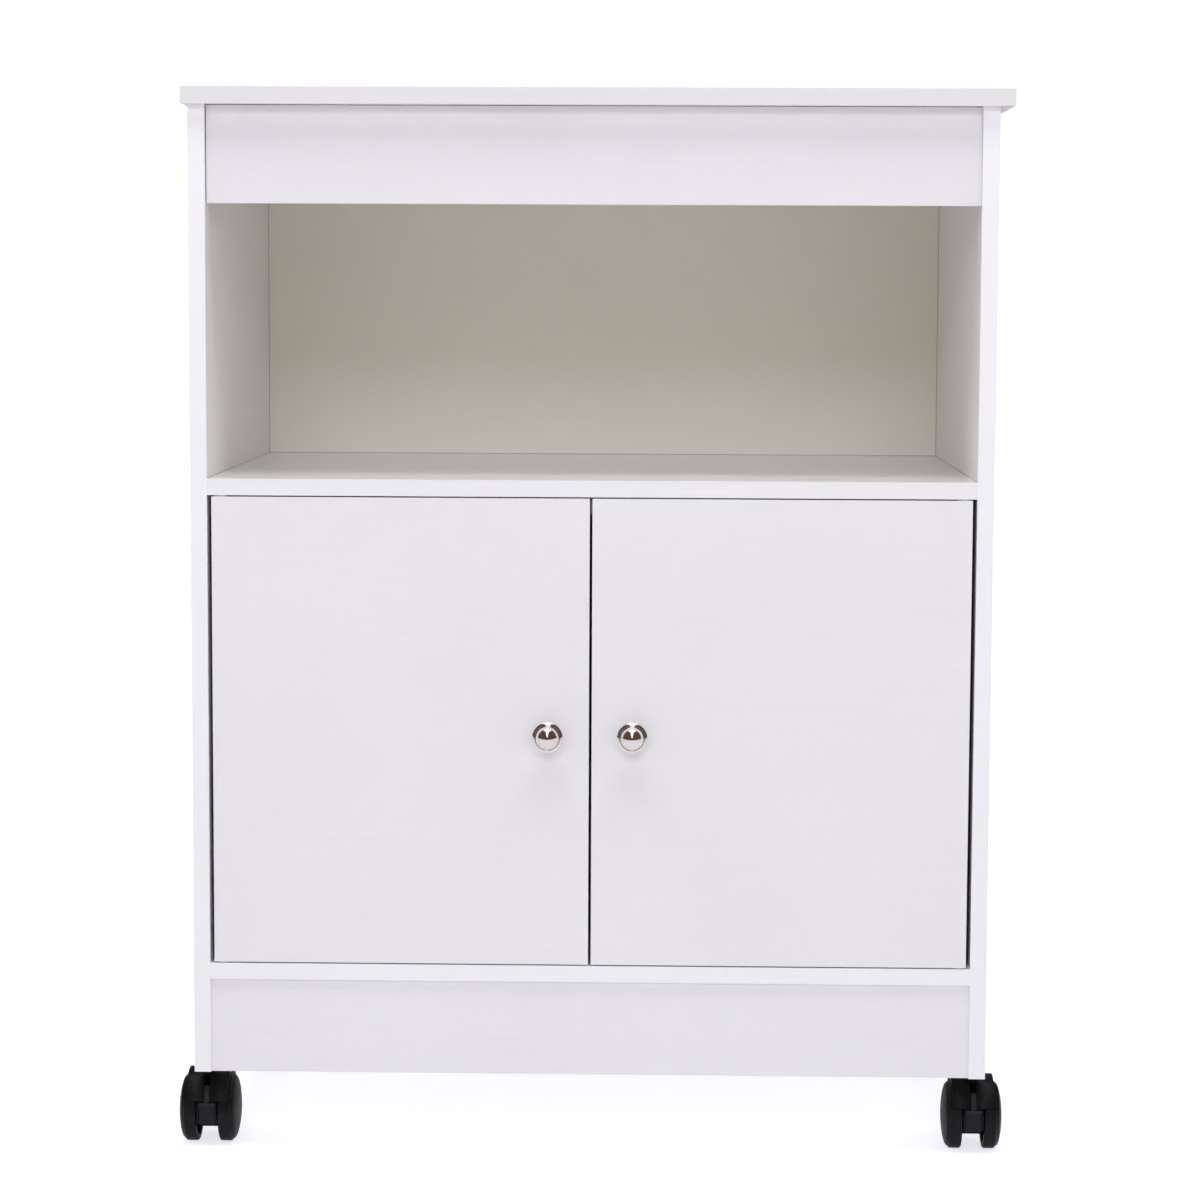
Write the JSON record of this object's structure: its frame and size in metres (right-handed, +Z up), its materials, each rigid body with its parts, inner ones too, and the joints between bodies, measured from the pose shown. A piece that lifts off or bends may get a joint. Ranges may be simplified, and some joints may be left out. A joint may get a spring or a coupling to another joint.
{
  "type": "microwave cart",
  "caption": "White board cart with an open bay under a wide apron rail, a two-door cupboard with round bright knobs, and twin-wheel casters.",
  "frame": {"origin": "middle of the whole cart's outline, on the floor under the wheels", "axes": "+Z up, -Y out of the doors (the front), +X to the right as seen from the front"},
  "size_m": [0.6086, 0.408, 0.773],
  "materials": {
    "white_laminate": "white melamine laminate on chipboard, satin",
    "back_board": "thin hardboard with a pale off-white film",
    "chrome": "polished bright plating",
    "steel": "zinc-plated steel",
    "zinc": "cast zinc",
    "beech": "fluted beech dowel",
    "white_plastic": "moulded white plastic",
    "magnet": "ferrite block",
    "black_nylon": "moulded black nylon, satin",
    "black_wheel": "moulded black nylon wheel, satin",
    "grey_nylon": "moulded dark grey nylon, ribbed"
  },
  "bodies": {
    "cabinet": {"side_panel_left": "white_laminate", "side_panel_right": "white_laminate", "top_panel": "white_laminate", "apron_rail": "white_laminate", "middle_shelf": "white_laminate", "bottom_shelf": "white_laminate", "kick_board": "white_laminate", "back_panel": "back_board", "cam_locks": "zinc", "cam_bolts": "steel", "wood_dowels": "beech", "back_nails": "steel", "catch_body": "white_plastic", "catch_magnets": "magnet", "catch_poles": "steel", "catch_screws": "zinc", "hinge_pins": "steel", "caster_sleeves": "white_plastic", "caster_stems": "steel", "caster_clips": "steel"},
    "left_door": {"left_door": "white_laminate", "left_door_bushes": "white_plastic", "left_knob": "chrome", "left_knob_screw": "zinc", "left_strike_plate": "steel", "left_strike_screw": "zinc"},
    "right_door": {"right_door": "white_laminate", "right_door_bushes": "white_plastic", "right_knob": "chrome", "right_knob_screw": "zinc", "right_strike_plate": "steel", "right_strike_screw": "zinc"},
    "front_left_caster": {"front_left_hood": "black_nylon", "front_left_axle": "steel", "front_left_pedal_pin": "steel"},
    "front_left_wheel_outer": {"front_left_wheel_outer": "black_wheel"},
    "front_left_wheel_inner": {"front_left_wheel_inner": "black_wheel"},
    "front_left_pedal": {"front_left_pedal": "grey_nylon"},
    "front_right_caster": {"front_right_hood": "black_nylon", "front_right_axle": "steel", "front_right_pedal_pin": "steel"},
    "front_right_wheel_outer": {"front_right_wheel_outer": "black_wheel"},
    "front_right_wheel_inner": {"front_right_wheel_inner": "black_wheel"},
    "front_right_pedal": {"front_right_pedal": "grey_nylon"},
    "rear_left_caster": {"rear_left_hood": "black_nylon", "rear_left_axle": "steel"},
    "rear_left_wheel_outer": {"rear_left_wheel_outer": "black_wheel"},
    "rear_left_wheel_inner": {"rear_left_wheel_inner": "black_wheel"},
    "rear_right_caster": {"rear_right_hood": "black_nylon", "rear_right_axle": "steel"},
    "rear_right_wheel_outer": {"rear_right_wheel_outer": "black_wheel"},
    "rear_right_wheel_inner": {"rear_right_wheel_inner": "black_wheel"}
  },
  "joints": [
    {"name": "left_door_hinge", "type": "hinge", "parent": "cabinet", "child": "left_door", "pos_m": [-0.2668, -0.176, 0.3125], "axis": [0, 0, -1], "range_deg": [0, 110]},
    {"name": "right_door_hinge", "type": "hinge", "parent": "cabinet", "child": "right_door", "pos_m": [0.2668, -0.176, 0.3125], "axis": [0, 0, 1], "range_deg": [0, 110]},
    {"name": "front_left_swivel", "type": "hinge", "parent": "cabinet", "child": "front_left_caster", "pos_m": [-0.282, -0.124, 0.047], "axis": [0, 0, 1], "continuous": true},
    {"name": "front_left_outer_spin", "type": "hinge", "parent": "front_left_caster", "child": "front_left_wheel_outer", "pos_m": [-0.2965, -0.142, 0.025], "axis": [1, 0, 0], "continuous": true},
    {"name": "front_left_inner_spin", "type": "hinge", "parent": "front_left_caster", "child": "front_left_wheel_inner", "pos_m": [-0.2675, -0.142, 0.025], "axis": [1, 0, 0], "continuous": true},
    {"name": "front_left_pedal_press", "type": "hinge", "parent": "front_left_caster", "child": "front_left_pedal", "pos_m": [-0.282, -0.155, 0.039], "axis": [1, 0, 0], "range_deg": [0, 18]},
    {"name": "front_right_swivel", "type": "hinge", "parent": "cabinet", "child": "front_right_caster", "pos_m": [0.282, -0.124, 0.047], "axis": [0, 0, 1], "continuous": true},
    {"name": "front_right_outer_spin", "type": "hinge", "parent": "front_right_caster", "child": "front_right_wheel_outer", "pos_m": [0.2965, -0.142, 0.025], "axis": [1, 0, 0], "continuous": true},
    {"name": "front_right_inner_spin", "type": "hinge", "parent": "front_right_caster", "child": "front_right_wheel_inner", "pos_m": [0.2675, -0.142, 0.025], "axis": [1, 0, 0], "continuous": true},
    {"name": "front_right_pedal_press", "type": "hinge", "parent": "front_right_caster", "child": "front_right_pedal", "pos_m": [0.282, -0.155, 0.039], "axis": [1, 0, 0], "range_deg": [0, 18]},
    {"name": "rear_left_swivel", "type": "hinge", "parent": "cabinet", "child": "rear_left_caster", "pos_m": [-0.282, 0.136, 0.047], "axis": [0, 0, 1], "continuous": true},
    {"name": "rear_left_outer_spin", "type": "hinge", "parent": "rear_left_caster", "child": "rear_left_wheel_outer", "pos_m": [-0.2965, 0.118, 0.025], "axis": [1, 0, 0], "continuous": true},
    {"name": "rear_left_inner_spin", "type": "hinge", "parent": "rear_left_caster", "child": "rear_left_wheel_inner", "pos_m": [-0.2675, 0.118, 0.025], "axis": [1, 0, 0], "continuous": true},
    {"name": "rear_right_swivel", "type": "hinge", "parent": "cabinet", "child": "rear_right_caster", "pos_m": [0.282, 0.136, 0.047], "axis": [0, 0, 1], "continuous": true},
    {"name": "rear_right_outer_spin", "type": "hinge", "parent": "rear_right_caster", "child": "rear_right_wheel_outer", "pos_m": [0.2965, 0.118, 0.025], "axis": [1, 0, 0], "continuous": true},
    {"name": "rear_right_inner_spin", "type": "hinge", "parent": "rear_right_caster", "child": "rear_right_wheel_inner", "pos_m": [0.2675, 0.118, 0.025], "axis": [1, 0, 0], "continuous": true}
  ]
}
